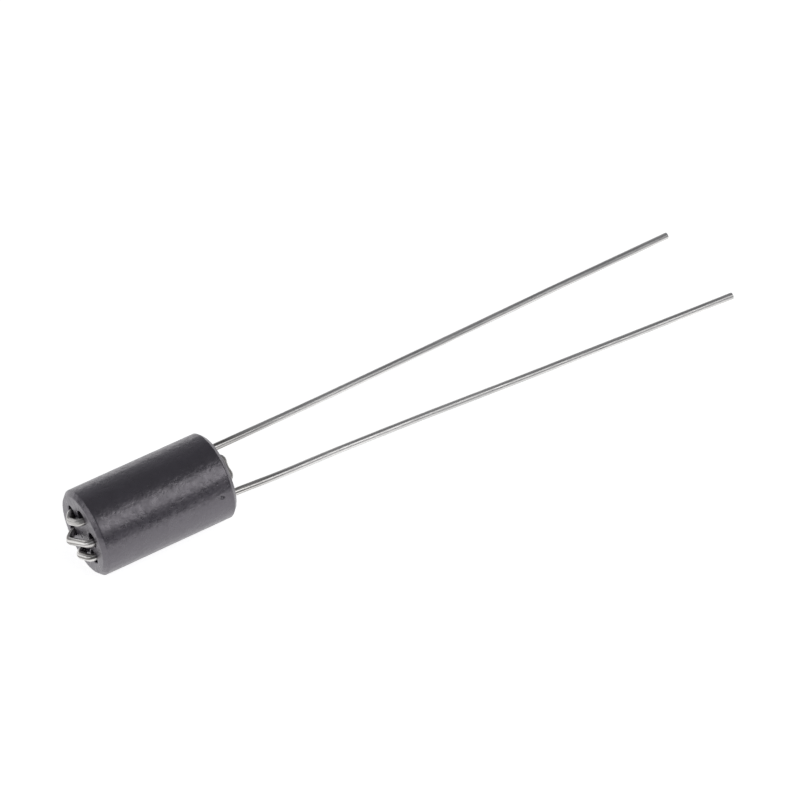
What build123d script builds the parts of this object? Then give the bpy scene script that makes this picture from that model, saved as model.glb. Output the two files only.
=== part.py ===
"""Six-hole ferrite bead wound with one bare tinned copper wire, in millimetres.

The frame's origin is the bead's centre. +X runs along the bead's axis, out of its back face and towards
the lead tips. +Z is up, and the bead lies on its side with both lead tips on the same flat surface.
"""
from build123d import *
from math import cos, pi, radians, sin, tan
import os

os.makedirs("parts", exist_ok=True)

# Ferrite core: a pressed and sintered cylinder
core_diameter = 6.0
core_length = 9.9
rim_chamfer = 0.3
hole_count = 6
hole_ring_diameter = 3.2
hole_ring_turn = 30.0  # degrees, from +Y towards +Z, to hole 0

# Winding wire
wire_diameter = 0.5
wire_play = 0.225  # gap all round a wire that is centred in its hole
wire_off_centre = 0.145  # how far the wire lies off its hole's centre, always less than wire_play
off_centre_turns = [-42.0, 190.0, -66.0, 134.0, 24.0, -114.0]  # which way it lies off, hole by hole

# Loops over the front face, each taller at one end, and loops pulled flat over the back face
front_foot = 0.02  # where the wire starts to lean over its tall end's hole
front_crown_reach = 0.6
front_crown_rises = {0: 0.4, 5: 0.65, 4: 0.52}  # by tall end's hole
front_crown_sags = {0: 0.25, 5: 0.35, 4: 0.12}  # how far the crown leans downwards
front_dip = 0.3
front_bend_limit = 0.9
back_gap = 0.03  # air left between a back loop and the back face

# Leads: straight from a short bend behind the back face to a tip on the resting surface
lead_exit = 0.7
lead_exit_bend = 8.0
lead_1_reach = 39.1  # behind the back face
lead_1_tip_y = 4.8
lead_2_reach = 39.6
lead_2_tip_y = -2.42
corner_share = 0.45  # part of the shorter run that a corner's arc may use

# Sizes that follow from the ones above
core_radius = core_diameter / 2
face_x = core_length / 2
hole_pitch = 360 / hole_count
wire_radius = wire_diameter / 2
hole_radius = wire_radius + wire_play
tight_bend = hole_radius - wire_off_centre  # the bend ends where the nearest hole rim starts
floor_z = -core_radius


def seat(hole):
    """Where the wire lies in a hole, as (y, z)."""
    ring_angle = radians(hole_ring_turn + hole * hole_pitch)
    off_angle = radians(off_centre_turns[hole])
    ring_radius = hole_ring_diameter / 2
    y = ring_radius * cos(ring_angle) + wire_off_centre * cos(off_angle)
    z = ring_radius * sin(ring_angle) + wire_off_centre * sin(off_angle)
    return y, z


def front_loop(tall, low):
    """Corners of a loop that rises over the tall hole and dips into the low one."""
    start = Vector(0, *seat(tall))
    end = Vector(0, *seat(low))
    crown = start + (end - start).normalized() * front_crown_reach
    return [
        (Vector(-face_x - front_foot, start.Y, start.Z), front_bend_limit),
        (Vector(-face_x - front_crown_rises[tall], crown.Y, crown.Z - front_crown_sags[tall]), front_bend_limit),
        (Vector(-face_x - front_dip, end.Y, end.Z), tight_bend),
    ]


def back_loop(start, end):
    """Corners of a loop that is pulled flat over the back face."""
    rise = wire_radius + back_gap
    return [(Vector(face_x + rise, *seat(hole)), tight_bend) for hole in (start, end)]


def lead(hole, reach, tip_y):
    """Corners of a lead, from where it leaves the back face to its tip on the resting surface."""
    return [
        (Vector(face_x + lead_exit, *seat(hole)), lead_exit_bend),
        (Vector(face_x + reach, tip_y, floor_z + wire_radius), None),
    ]


def corner_radius(before, corner, after, limit):
    """The arc at a corner: as large as its two runs leave room for, up to its limit."""
    arriving = corner - before
    leaving = after - corner
    turn = arriving.get_angle(leaving)
    largest = corner_share * min(arriving.length, leaving.length) / tan(radians(turn / 2))
    return min(largest, limit)


# The wire goes through holes 0, 1, 2, 5, 4 and 3, so the leads leave at opposite holes.
route = lead(0, lead_1_reach, lead_1_tip_y)[::-1]
route += front_loop(0, 1)
route += back_loop(1, 2)
route += front_loop(5, 2)[::-1]
route += back_loop(5, 4)
route += front_loop(4, 3)
route += lead(3, lead_2_reach, lead_2_tip_y)
corners = [corner for corner, limit in route]
bends = [corner_radius(*corners[i - 1:i + 2], route[i][1]) for i in range(1, len(route) - 1)]

with BuildPart() as ferrite_core:
    with BuildSketch(Plane.YZ.offset(-face_x)) as core_section:
        Circle(core_radius)
    extrude(amount=core_length)
    chamfer(ferrite_core.edges().filter_by(GeomType.CIRCLE), length=rim_chamfer)
    with BuildSketch(Plane.YZ.offset(-face_x)) as hole_ring:
        with PolarLocations(hole_ring_diameter / 2, hole_count, start_angle=hole_ring_turn):
            Circle(hole_radius)
    extrude(amount=core_length, mode=Mode.SUBTRACT)
ferrite_core.part.label = "ferrite_core"
export_step(ferrite_core.part, "parts/ferrite_core.step")

with BuildPart() as winding_wire:
    with BuildLine() as wire_route:
        FilletPolyline(*corners, radius=bends)
    with BuildSketch(Plane(origin=wire_route.line @ 0, z_dir=wire_route.line % 0)) as wire_section:
        Circle(wire_radius)
    sweep(path=wire_route.line)
winding_wire.part.label = "winding_wire"
export_step(winding_wire.part, "parts/winding_wire.step")

wire_length = wire_route.wire().length
print("bend radii:", [round(bend, 2) for bend in bends])
print("wire length:", round(wire_length, 2))
print("wire volume:", round(winding_wire.part.volume, 3))
print("section times length:", round(pi * wire_radius**2 * wire_length, 3))
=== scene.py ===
"""Looks of a six-hole ferrite bead wound with one tinned copper wire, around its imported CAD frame."""
import math
import random

import bpy
from mathutils import Matrix, Vector, noise


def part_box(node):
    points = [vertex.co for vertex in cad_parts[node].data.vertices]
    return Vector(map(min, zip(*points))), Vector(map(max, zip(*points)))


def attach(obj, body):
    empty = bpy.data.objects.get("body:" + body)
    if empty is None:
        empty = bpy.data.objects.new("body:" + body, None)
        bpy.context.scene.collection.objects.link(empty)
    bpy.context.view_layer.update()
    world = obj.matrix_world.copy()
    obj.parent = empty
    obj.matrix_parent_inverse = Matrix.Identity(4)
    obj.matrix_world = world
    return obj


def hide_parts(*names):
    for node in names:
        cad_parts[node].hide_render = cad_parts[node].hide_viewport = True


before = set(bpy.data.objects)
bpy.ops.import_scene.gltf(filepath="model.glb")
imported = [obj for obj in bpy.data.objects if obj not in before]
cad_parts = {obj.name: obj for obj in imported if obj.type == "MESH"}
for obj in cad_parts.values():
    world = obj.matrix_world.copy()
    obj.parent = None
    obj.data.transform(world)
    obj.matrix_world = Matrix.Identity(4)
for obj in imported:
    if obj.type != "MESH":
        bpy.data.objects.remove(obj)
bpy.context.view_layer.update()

MM = 0.001

# Sizes of the bead. Its box comes from the frame, and the rest are the CAD model's own values.
core_low, core_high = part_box("ferrite_core")
wire_low, wire_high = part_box("winding_wire")
CORE_RADIUS = (core_high[2] - core_low[2]) / 2
FACE_X = (core_high[0] - core_low[0]) / 2
FLOOR_Z = core_low[2]
RIM_CHAMFER = 0.3 * MM
HOLE_COUNT = 6
HOLE_RING_RADIUS = 1.6 * MM
HOLE_RING_TURN = math.radians(30)
HOLE_RADIUS = 0.475 * MM
WIRE_RADIUS = 0.25 * MM
SHARP_EDGE = math.radians(38)  # edges that turn more than this are shaded as edges

# The photo's camera, fitted to the bead's outline
CAMERA_TARGET = Vector((18.617, -0.789, 0)) * MM
CAMERA_AZIMUTH, CAMERA_ELEVATION = -31.92, 47.20
CAMERA_DISTANCE = 265.4 * MM


# ---------------------------------------------------------------- camera and light

def aim(thing, target):
    """Turns a camera or light so that it looks at a point, with its top upwards."""
    thing.rotation_mode = "QUATERNION"
    thing.rotation_quaternion = (target - thing.location).to_track_quat("-Z", "Y")


def direction(azimuth, elevation):
    """The unit vector towards an azimuth (0 is -Y, 90 is +X) and a height above the horizon."""
    a, e = math.radians(azimuth), math.radians(elevation)
    return Vector((math.sin(a) * math.cos(e), -math.cos(a) * math.cos(e), math.sin(e)))


def make_camera():
    data = bpy.data.cameras.new("camera")
    data.lens = 180
    data.sensor_width = 36
    data.clip_start = 0.01
    data.clip_end = 20
    camera = bpy.data.objects.new("camera", data)
    bpy.context.scene.collection.objects.link(camera)
    camera.location = CAMERA_TARGET + direction(CAMERA_AZIMUTH, CAMERA_ELEVATION) * CAMERA_DISTANCE
    aim(camera, CAMERA_TARGET)
    bpy.context.scene.camera = camera


def softbox(name, azimuth, elevation, distance, width, height, power):
    """A rectangular area light, sized in metres and powered in watts, that faces the bead."""
    data = bpy.data.lights.new(name, "AREA")
    data.shape = "RECTANGLE"
    data.size = width
    data.size_y = height
    data.energy = power
    light = bpy.data.objects.new(name, data)
    bpy.context.scene.collection.objects.link(light)
    light.location = direction(azimuth, elevation) * distance
    aim(light, Vector((0, 0, 0)))


def make_world():
    """A dim room, brighter low behind the bead, that is pale where the camera sees past the floor."""
    world = bpy.data.worlds.new("studio")
    bpy.context.scene.world = world
    world.use_nodes = True
    nodes, links = world.node_tree.nodes, world.node_tree.links
    nodes.clear()
    output = nodes.new("ShaderNodeOutputWorld")
    mix = nodes.new("ShaderNodeMixShader")
    room = nodes.new("ShaderNodeBackground")
    room.inputs["Color"].default_value = (0.95, 0.96, 1.0, 1)
    behind = nodes.new("ShaderNodeVectorMath")
    behind.operation = "DOT_PRODUCT"
    behind.inputs[1].default_value = (-0.1, 0.85, -0.5)  # towards the low far side
    links.new(nodes.new("ShaderNodeTexCoord").outputs["Generated"], behind.inputs[0])
    strength = ranged(nodes, links, behind.outputs["Value"], 0.21, 0.46, start=0.1, end=0.85)
    links.new(strength, room.inputs["Strength"])
    backdrop = nodes.new("ShaderNodeBackground")
    backdrop.inputs["Color"].default_value = (1, 1, 1, 1)
    backdrop.inputs["Strength"].default_value = 0.95
    path = nodes.new("ShaderNodeLightPath")
    links.new(path.outputs["Is Camera Ray"], mix.inputs["Fac"])
    links.new(room.outputs["Background"], mix.inputs[1])
    links.new(backdrop.outputs["Background"], mix.inputs[2])
    links.new(mix.outputs["Shader"], output.inputs["Surface"])


def make_floor():
    """A plain white sheet, lit from behind like a light table."""
    half = 3.0
    mesh = bpy.data.meshes.new("floor")
    sides = ((-1, -1), (1, -1), (1, 1), (-1, 1))
    mesh.from_pydata([(x * half, y * half, FLOOR_Z) for x, y in sides], [], [(0, 1, 2, 3)])
    floor = bpy.data.objects.new("floor", mesh)
    bpy.context.scene.collection.objects.link(floor)
    material = bpy.data.materials.new("floor")
    material.use_nodes = True
    shader = material.node_tree.nodes["Principled BSDF"]
    shader.inputs["Base Color"].default_value = (0.8, 0.8, 0.8, 1)
    shader.inputs["Roughness"].default_value = 0.9
    shader.inputs["Specular IOR Level"].default_value = 0.0
    shader.inputs["Emission Color"].default_value = (1, 1, 1, 1)
    shader.inputs["Emission Strength"].default_value = 0.82
    mesh.materials.append(material)


# ---------------------------------------------------------------- materials

# Linear colours. Along the loops, the dark and pale streaks are die lines and also painted shade and painted
# highlight lines. The leads are painted paler and more even, as painted light.
FERRITE_DARK, FERRITE_PALE = (0.016, 0.013, 0.021, 1), (0.027, 0.023, 0.034, 1)
WOUND_DIE_LINE_AND_PAINTED_SHADE, WOUND_DIE_LINE_AND_PAINTED_HIGHLIGHT = (0.22, 0.21, 0.20, 1), (0.80, 0.785, 0.765, 1)
LEAD_PAINTED_LIGHT_DARK, LEAD_PAINTED_LIGHT_PALE = (0.60, 0.595, 0.585, 1), (0.80, 0.79, 0.775, 1)
STREAK_STRETCH = (0.12, 6, 1)  # along the wire, round it, and unused


def new_material(name):
    material = bpy.data.materials.new(name)
    material.use_nodes = True
    return material, material.node_tree.nodes, material.node_tree.links


def noise_node(nodes, links, coordinates, scale, detail=3.0, roughness=0.5):
    """Noise whose features are about scale metres across."""
    node = nodes.new("ShaderNodeTexNoise")
    node.inputs["Scale"].default_value = 1 / scale
    node.inputs["Detail"].default_value = detail
    node.inputs["Roughness"].default_value = roughness
    links.new(coordinates, node.inputs["Vector"])
    return node.outputs["Fac"]


def ranged(nodes, links, value, low, high, start=0.3, end=0.7):
    """A value from low to high as the input goes from start to end."""
    node = nodes.new("ShaderNodeMapRange")
    node.inputs["From Min"].default_value = start
    node.inputs["From Max"].default_value = end
    node.inputs["To Min"].default_value = low
    node.inputs["To Max"].default_value = high
    links.new(value, node.inputs["Value"])
    return node.outputs["Result"]


def blended(nodes, links, factor, first, second):
    """A colour between two, by a factor."""
    node = nodes.new("ShaderNodeMix")
    node.data_type = "RGBA"
    for socket, colour in ((node.inputs["A"], first), (node.inputs["B"], second)):
        if isinstance(colour, tuple):
            socket.default_value = colour
        else:
            links.new(colour, socket)
    links.new(factor, node.inputs["Factor"])
    return node.outputs["Result"]


def bumped(nodes, links, height, distance, normal=None):
    """A normal tilted by a height, on top of an earlier bump where one is given."""
    node = nodes.new("ShaderNodeBump")
    node.inputs["Distance"].default_value = distance
    links.new(height, node.inputs["Height"])
    if normal is not None:
        links.new(normal, node.inputs["Normal"])
    return node.outputs["Normal"]


def ferrite_material():
    """Sintered ferrite: near black with a violet cast, satin, with a fine uneven grain."""
    material, nodes, links = new_material("ferrite")
    shader = nodes["Principled BSDF"]
    place = nodes.new("ShaderNodeTexCoord").outputs["Object"]
    cloud = noise_node(nodes, links, place, 1.1 * MM, detail=4)
    mottle = noise_node(nodes, links, place, 0.34 * MM, detail=3)
    grain = noise_node(nodes, links, place, 0.05 * MM, detail=2)
    tone = ranged(nodes, links, cloud, 0, 1)
    links.new(blended(nodes, links, tone, FERRITE_DARK, FERRITE_PALE), shader.inputs["Base Color"])
    links.new(ranged(nodes, links, mottle, 0.24, 0.38), shader.inputs["Roughness"])
    shader.inputs["IOR"].default_value = 2.2
    shader.inputs["Specular Tint"].default_value = (0.98, 0.93, 1.0, 1)
    normal = bumped(nodes, links, mottle, 0.030 * MM)
    normal = bumped(nodes, links, grain, 0.004 * MM, normal)
    links.new(normal, shader.inputs["Normal"])
    return material


def tinned_wire_material():
    """Tinned copper wire: satin metal with streaks along it and patches of duller polish. The streaks on its
    loops are also painted shade and painted highlight lines, and its leads are painted paler as painted
    light.
    """
    material, nodes, links = new_material("tinned_wire")
    shader = nodes["Principled BSDF"]
    along = nodes.new("ShaderNodeUVMap")
    along.uv_map = "along"
    place = nodes.new("ShaderNodeTexCoord").outputs["Object"]
    stretch = nodes.new("ShaderNodeMapping")
    stretch.inputs["Scale"].default_value = STREAK_STRETCH
    links.new(along.outputs["UV"], stretch.inputs["Vector"])
    streaks = noise_node(nodes, links, stretch.outputs["Vector"], 1)
    patches = noise_node(nodes, links, place, 0.9 * MM, detail=4)
    # The loops' streaks are die lines, and also painted shade and painted highlight lines along the wire
    tone = ranged(nodes, links, streaks, 0, 1, start=0.42, end=0.58)
    wound_lines_and_painted_light = blended(nodes, links, tone, WOUND_DIE_LINE_AND_PAINTED_SHADE, WOUND_DIE_LINE_AND_PAINTED_HIGHLIGHT)
    straight = blended(nodes, links, tone, LEAD_PAINTED_LIGHT_DARK, LEAD_PAINTED_LIGHT_PALE)
    split = nodes.new("ShaderNodeSeparateXYZ")
    links.new(place, split.inputs["Vector"])
    # Painted light: from just behind the back face on, the wire takes the leads' paler colour in place of the
    # loops' colour
    behind = ranged(nodes, links, split.outputs["X"], 0, 1, start=FACE_X + 1 * MM, end=FACE_X + 6 * MM)
    links.new(blended(nodes, links, behind, wound_lines_and_painted_light, straight), shader.inputs["Base Color"])
    shader.inputs["Metallic"].default_value = 1.0
    links.new(ranged(nodes, links, patches, 0.26, 0.44), shader.inputs["Roughness"])
    links.new(bumped(nodes, links, streaks, 0.008 * MM), shader.inputs["Normal"])
    return material


# ---------------------------------------------------------------- ferrite core

def arc_points(before, corner, after, radius, steps):
    """Points of the arc that rounds a corner, from the first run to the second."""
    arriving = (before - corner).normalized()
    leaving = (after - corner).normalized()
    half = arriving.angle(leaving) / 2
    cut = radius / math.tan(half)
    centre = corner + (arriving + leaving).normalized() * (radius / math.sin(half))
    start = corner + arriving * cut - centre
    end = corner + leaving * cut - centre
    turn = start.angle(end)
    points = []
    for step in range(steps + 1):
        share = step / steps
        blend = start * math.sin((1 - share) * turn) + end * math.sin(share * turn)
        points.append(centre + blend / math.sin(turn))
    return points


# The core's mesh and its pressed surface
EDGE_ROUNDING = 0.12 * MM
EDGE_STEPS = 4
FACE_STEP = 0.09 * MM
BARREL_STEP = 0.075 * MM
CORE_AROUND = 300
HOLE_AROUND = 56
BARREL_PITS, FACE_PITS = 36, 14
WEAR_REACH = 0.45 * MM  # how far from the middle of a rim's chamfer its wear fades out
WEAR_MOST = 0.004 * MM  # the most that wear stands out

# Two marks that the photo shows, as (distance in front of the back face, turn about X, radius, depth)
PLAIN_MARKS = [
    (1.085 * MM, math.radians(159.2), 0.19 * MM, 0.12 * MM),
    (3.36 * MM, math.radians(166.8), 0.30 * MM, 0.02 * MM),
]


def core_profile():
    """Half section of the core as (x, radius) pairs, from the front face's centre to the back's."""
    flat = CORE_RADIUS - RIM_CHAMFER
    corners = [
        Vector((-FACE_X, 0, 0)),
        Vector((-FACE_X, flat, 0)),
        Vector((-FACE_X + RIM_CHAMFER, CORE_RADIUS, 0)),
        Vector((FACE_X - RIM_CHAMFER, CORE_RADIUS, 0)),
        Vector((FACE_X, flat, 0)),
        Vector((FACE_X, 0, 0)),
    ]
    turns = [corners[0]]
    for index in range(1, len(corners) - 1):
        turns += arc_points(corners[index - 1], corners[index], corners[index + 1], EDGE_ROUNDING, EDGE_STEPS)
    turns.append(corners[-1])
    profile = [turns[0]]
    for start, end in zip(turns, turns[1:]):
        step = FACE_STEP if abs(start.x - end.x) < 1e-9 else BARREL_STEP
        count = max(1, round((end - start).length / step))
        profile += [start.lerp(end, k / count) for k in range(1, count + 1)]
    return [(point.x, max(point.y, 0.0)) for point in profile]


def uneven(point, pits):
    """How far the pressed surface stands out of its true shape at a point, in metres."""
    swell = noise.noise(point / (0.9 * MM)) * 0.004 * MM
    peel = noise.noise(point / (0.28 * MM)) * 0.0028 * MM
    rim = max(0.0, 1 - abs(math.hypot(point.y, point.z) - CORE_RADIUS + RIM_CHAMFER / 2) / WEAR_REACH)
    end = max(0.0, 1 - abs(abs(point.x) - FACE_X + RIM_CHAMFER / 2) / WEAR_REACH)
    wear = (noise.noise(point / (0.5 * MM) + Vector((9, 3, 5))) - 0.1) * 0.016 * MM * rim * end
    out = swell + peel + min(wear, WEAR_MOST)
    for place, radius, depth in pits:
        gap = (point - place).length
        if gap < radius:
            out -= depth * (0.5 + 0.5 * math.cos(math.pi * gap / radius))
    return out


def core_pits():
    """Pits as (place, radius, depth): the photo's two marks, then a scatter of faint ones."""
    def on_barrel(x, turn):
        return Vector((x, CORE_RADIUS * math.cos(turn), CORE_RADIUS * math.sin(turn)))

    chance = random.Random(7)
    pits = [(on_barrel(FACE_X - x, turn), radius, depth) for x, turn, radius, depth in PLAIN_MARKS]
    for _ in range(BARREL_PITS):
        place = on_barrel(chance.uniform(-0.92, 0.92) * FACE_X, chance.uniform(0, math.tau))
        pits.append((place, chance.uniform(0.08, 0.16) * MM, chance.uniform(0.006, 0.02) * MM))
    for _ in range(FACE_PITS):
        turn, reach = chance.uniform(0, math.tau), chance.uniform(0.1, 2.4) * MM
        side = chance.choice((-FACE_X, FACE_X))
        place = Vector((side, reach * math.cos(turn), reach * math.sin(turn)))
        pits.append((place, chance.uniform(0.08, 0.16) * MM, chance.uniform(0.01, 0.03) * MM))
    return pits


def turned_mesh(name, profile, around, wobble=None):
    """A closed solid of revolution about X, moved along its normals by wobble(point) if one is given.

    The profile starts and ends on the axis.
    """
    points = [Vector((profile[0][0], 0, 0))]
    for x, radius in profile[1:-1]:
        for step in range(around):
            turn = math.tau * step / around
            points.append(Vector((x, radius * math.cos(turn), radius * math.sin(turn))))
    points.append(Vector((profile[-1][0], 0, 0)))
    rows = len(profile) - 2
    last = len(points) - 1
    faces = [(0, 1 + (step + 1) % around, 1 + step) for step in range(around)]
    for row in range(rows - 1):
        first = 1 + row * around
        for step in range(around):
            after = (step + 1) % around
            faces.append((first + step, first + after, first + around + after, first + around + step))
    first = 1 + (rows - 1) * around
    faces += [(first + step, first + (step + 1) % around, last) for step in range(around)]
    mesh = bpy.data.meshes.new(name)
    mesh.from_pydata([tuple(point) for point in points], [], faces)
    mesh.update()
    if wobble is not None:
        normals = [vertex.normal.copy() for vertex in mesh.vertices]
        for vertex, normal in zip(mesh.vertices, normals):
            vertex.co = vertex.co + normal * wobble(vertex.co)
        mesh.update()
    return mesh


def hole_profile():
    """Half section of the tool that cuts one hole: straight, with a small bevel at each mouth."""
    bevel = 0.05 * MM
    over = 0.1 * MM
    steps = 6
    front = [(-FACE_X - over, 0), (-FACE_X - over, HOLE_RADIUS + bevel + over)]
    for step in range(steps + 1):
        depth = bevel * math.sin(math.pi / 2 * step / steps)
        front.append((-FACE_X + depth, HOLE_RADIUS + bevel - depth))
    back = [(-x, radius) for x, radius in reversed(front)]
    return front + back


def apply_modifiers(thing):
    """Puts an object's modified shape into its mesh."""
    graph = bpy.context.evaluated_depsgraph_get()
    made = bpy.data.meshes.new_from_object(thing.evaluated_get(graph), depsgraph=graph)
    made.name = thing.name
    thing.modifiers.clear()
    thing.data = made


def make_core():
    """The core: a turned solid with an uneven surface, with the six holes cut through it."""
    pits = core_pits()
    mesh = turned_mesh("core", core_profile(), CORE_AROUND, lambda point: uneven(point, pits))
    core = bpy.data.objects.new("core", mesh)
    bpy.context.scene.collection.objects.link(core)
    cutter_mesh = bpy.data.meshes.new("cutters")
    points, faces = [], []
    tool = turned_mesh("tool", hole_profile(), HOLE_AROUND)
    for hole in range(HOLE_COUNT):
        turn = HOLE_RING_TURN + math.tau * hole / HOLE_COUNT
        shift = Vector((0, HOLE_RING_RADIUS * math.cos(turn), HOLE_RING_RADIUS * math.sin(turn)))
        base = len(points)
        points += [tuple(vertex.co + shift) for vertex in tool.vertices]
        faces += [tuple(base + index for index in polygon.vertices) for polygon in tool.polygons]
    cutter_mesh.from_pydata(points, [], faces)
    cutters = bpy.data.objects.new("cutters", cutter_mesh)
    bpy.context.scene.collection.objects.link(cutters)
    cut = core.modifiers.new("holes", "BOOLEAN")
    cut.operation = "DIFFERENCE"
    cut.solver = "EXACT"
    cut.object = cutters
    apply_modifiers(core)
    bpy.data.objects.remove(cutters)
    bpy.data.meshes.remove(cutter_mesh)
    bpy.data.meshes.remove(tool)
    core.data.shade_smooth()
    core.data.set_sharp_from_angle(angle=SHARP_EDGE)
    core.data.materials.clear()
    core.data.materials.append(ferrite_material())
    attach(core, "root")
    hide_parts("ferrite_core")


# ---------------------------------------------------------------- winding wire

# The wire's route over the bead, in millimetres. It is the CAD model's, except that the crowns' sags, the
# bulges where front loops enter their low holes, and the spring of the back loops follow the photo.
# The bulges take the wire about 0.08 mm into the walls of holes 1 and 3.
OFF_CENTRE = 0.145
OFF_CENTRE_TURNS = [-42.0, 190.0, -66.0, 134.0, 24.0, -114.0]
FRONT_FOOT = 0.02
FRONT_CROWN_REACH = 0.6
FRONT_CROWN_RISES = {0: 0.4, 5: 0.65, 4: 0.52}
FRONT_CROWN_SAGS = {0: 0.33, 5: 0.38, 4: 0.05}
FRONT_BULGES = {1: (-0.16, -0.02), 2: (-0.15, 0.0), 3: (-0.12, 0.12)}
FRONT_DIP = 0.3
FRONT_BEND = 0.9
BACK_RISE = 0.28
BACK_SPRING = 0.16
BACK_BEND = 3.0
TIGHT_BEND = 0.33
LEAD_EXIT = 0.7
LEAD_EXIT_BEND = 8.0
LEAD_BEND = 160.0
CORNER_SHARE = 0.45
WIRE_STEP = 0.45
WIRE_AROUND = 40
THICKNESS_DRIFT = 0.006  # share of the wire's radius by which it varies
THICKNESS_WAVE = 2.1

# Points along each lead: how far behind the back face, y, and height above the floor
LEAD_1 = [(8.05, 2.07, 2.99), (19.05, 3.02, 2.02), (29.05, 3.95, 1.14), (39.1, 4.80, 0.25)]
LEAD_2 = [(4.05, -1.61, 2.13), (8.05, -1.58, 1.92), (15.05, -1.74, 1.55), (23.05, -2.01, 1.12),
          (31.05, -2.21, 0.70), (39.6, -2.42, 0.25)]


def seat(hole):
    """Where the wire lies in a hole, as (y, z) in millimetres."""
    ring = HOLE_RING_TURN + math.tau * hole / HOLE_COUNT
    off = math.radians(OFF_CENTRE_TURNS[hole])
    reach = HOLE_RING_RADIUS / MM
    return (reach * math.cos(ring) + OFF_CENTRE * math.cos(off),
            reach * math.sin(ring) + OFF_CENTRE * math.sin(off))


def front_loop(tall, low):
    """Corners and bend limits of a loop that rises over the tall hole and dips into the low one."""
    face = -FACE_X / MM
    start, end = Vector((0, *seat(tall))), Vector((0, *seat(low))) + Vector((0, *FRONT_BULGES[low]))
    crown = start + (end - start).normalized() * FRONT_CROWN_REACH
    return [
        (Vector((face - FRONT_FOOT, start.y, start.z)), FRONT_BEND),
        (Vector((face - FRONT_CROWN_RISES[tall], crown.y, crown.z - FRONT_CROWN_SAGS[tall])), FRONT_BEND),
        (Vector((face - FRONT_DIP, end.y, end.z)), TIGHT_BEND),
    ]


def back_loop(start, end):
    """Corners and bend limits of a loop that is pulled flat over the back face, springing up at its ends."""
    face = FACE_X / MM
    first, last = Vector((0, *seat(start))), Vector((0, *seat(end)))
    middle = (first + last) / 2
    return [
        (Vector((face + BACK_RISE + BACK_SPRING, first.y, first.z)), TIGHT_BEND),
        (Vector((face + BACK_RISE, middle.y, middle.z)), BACK_BEND),
        (Vector((face + BACK_RISE + BACK_SPRING, last.y, last.z)), TIGHT_BEND),
    ]


def lead(hole, points):
    """Corners and bend limits of a lead, out to its tip."""
    face = FACE_X / MM
    corners = [(Vector((face + LEAD_EXIT, *seat(hole))), LEAD_EXIT_BEND)]
    corners += [(Vector((face + x, y, FLOOR_Z / MM + z)), LEAD_BEND) for x, y, z in points]
    return corners


def wire_route():
    """The whole wire's corners, from one lead's tip to the other's."""
    route = lead(0, LEAD_1)[::-1]
    route += front_loop(0, 1)
    route += back_loop(1, 2)
    route += front_loop(5, 2)[::-1]
    route += back_loop(5, 4)
    route += front_loop(4, 3)
    route += lead(3, LEAD_2)
    return route


def wire_line(route):
    """Points along the wire's centre, in millimetres: arcs joined by straight runs cut into short steps."""
    line = [route[0][0]]
    for index in range(1, len(route) - 1):
        before, (corner, limit), after = route[index - 1][0], route[index], route[index + 1][0]
        arriving, leaving = corner - before, after - corner
        turn = arriving.angle(leaving)
        largest = CORNER_SHARE * min(arriving.length, leaving.length) / math.tan(turn / 2)
        steps = max(4, round(math.degrees(turn) / 4))
        line += arc_points(before, corner, after, min(largest, limit), steps)
    line.append(route[-1][0])
    dense = [line[0]]
    for start, end in zip(line, line[1:]):
        count = max(1, round((end - start).length / WIRE_STEP))
        dense += [start.lerp(end, k / count) for k in range(1, count + 1)]
    return dense


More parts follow.
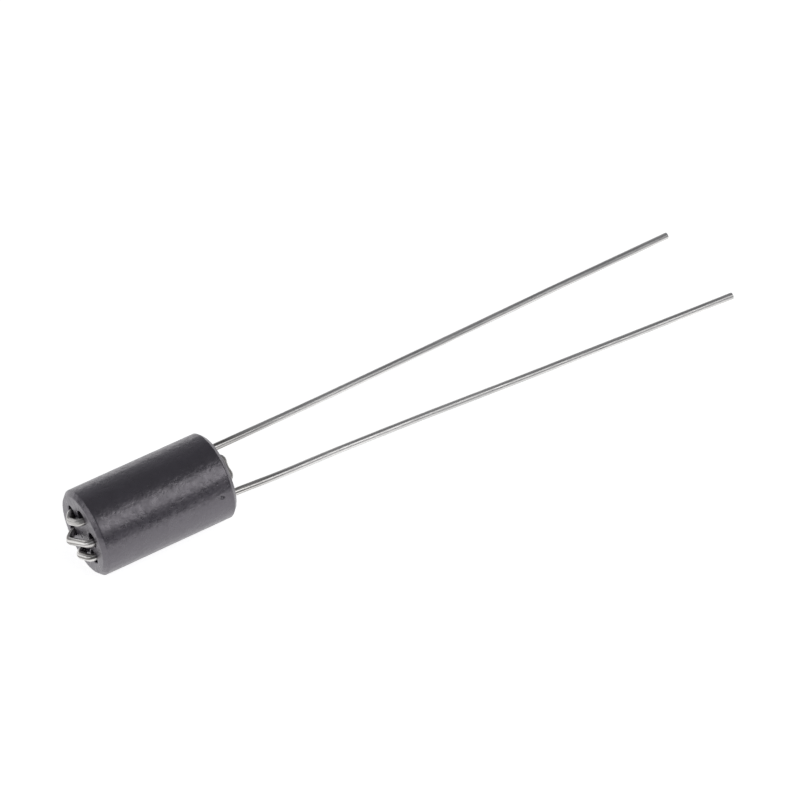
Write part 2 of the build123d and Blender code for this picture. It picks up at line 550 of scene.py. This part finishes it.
def make_wire():
    """The wire: a tube swept along its route, with a layer of (distance along, share round) for streaks."""
    line = wire_line(wire_route())
    around = WIRE_AROUND
    points, faces, along, travelled = [], [], [], []
    heading = (line[1] - line[0]).normalized()
    side = heading.orthogonal().normalized()
    length = 0.0
    for index, centre in enumerate(line):
        before, after = line[max(index - 1, 0)], line[min(index + 1, len(line) - 1)]
        ahead = (after - before).normalized()
        side = (side - ahead * side.dot(ahead)).normalized()
        up = ahead.cross(side)
        length += (centre - before).length
        travelled.append(length)
        drift = THICKNESS_DRIFT * noise.noise(Vector((length / THICKNESS_WAVE, 0, 4)))
        radius = WIRE_RADIUS / MM * (1 + drift)
        for step in range(around):
            turn = math.tau * step / around
            points.append((centre + (side * math.cos(turn) + up * math.sin(turn)) * radius) * MM)
    rings = len(line)
    for ring in range(rings - 1):
        for step in range(around):
            after = (step + 1) % around
            low, high = ring * around, (ring + 1) * around
            faces.append((low + step, low + after, high + after, high + step))
            span = (travelled[ring], travelled[ring + 1])
            left, right = abs(2 * step / around - 1), abs(2 * (step + 1) / around - 1)
            along.append([(span[0], left), (span[0], right), (span[1], right), (span[1], left)])
    for ring, ahead in ((0, -1), (rings - 1, 1)):
        first = ring * around
        cap_points, cap_faces = wire_end(points[first:first + around], first, len(points), ahead)
        points += cap_points
        faces += cap_faces
        along += [[(travelled[ring], 0.5)] * len(face) for face in cap_faces]
    mesh = bpy.data.meshes.new("wire")
    mesh.from_pydata([tuple(point) for point in points], [], faces)
    layer = mesh.uv_layers.new(name="along")
    for polygon, corners in zip(mesh.polygons, along):
        for loop, corner in zip(polygon.loop_indices, corners):
            layer.data[loop].uv = corner
    mesh.shade_smooth()
    mesh.set_sharp_from_angle(angle=SHARP_EDGE)
    mesh.materials.append(tinned_wire_material())
    wire = bpy.data.objects.new("wire", mesh)
    bpy.context.scene.collection.objects.link(wire)
    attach(wire, "root")
    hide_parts("winding_wire")


def wire_end(rim, rim_start, free, ahead):
    """Points and faces of a lead's cut end: a small bevel round a flat face."""
    around = len(rim)
    centre = sum(rim, Vector()) / around
    outwards = (rim[0] - centre).cross(rim[around // 4] - centre).normalized() * ahead
    inwards, ahead_of_rim = 0.03 * MM, 0.018 * MM
    inner = [point + (centre - point).normalized() * inwards + outwards * ahead_of_rim for point in rim]
    faces = []
    for step in range(around):
        after = (step + 1) % around
        quad = (rim_start + step, rim_start + after, free + after, free + step)
        faces.append(quad if ahead > 0 else quad[::-1])
    cap = tuple(free + step for step in range(around))
    faces.append(cap if ahead > 0 else cap[::-1])
    return inner, faces


# ---------------------------------------------------------------- the scene

bpy.context.scene.view_settings.view_transform = "Standard"
make_camera()
make_world()
make_floor()
softbox("key", azimuth=32.0, elevation=47.2, distance=0.36, width=0.20, height=0.20, power=0.19)
softbox("side", azimuth=-98.0, elevation=22.0, distance=0.40, width=0.40, height=0.10, power=0.16)
make_core()
make_wire()
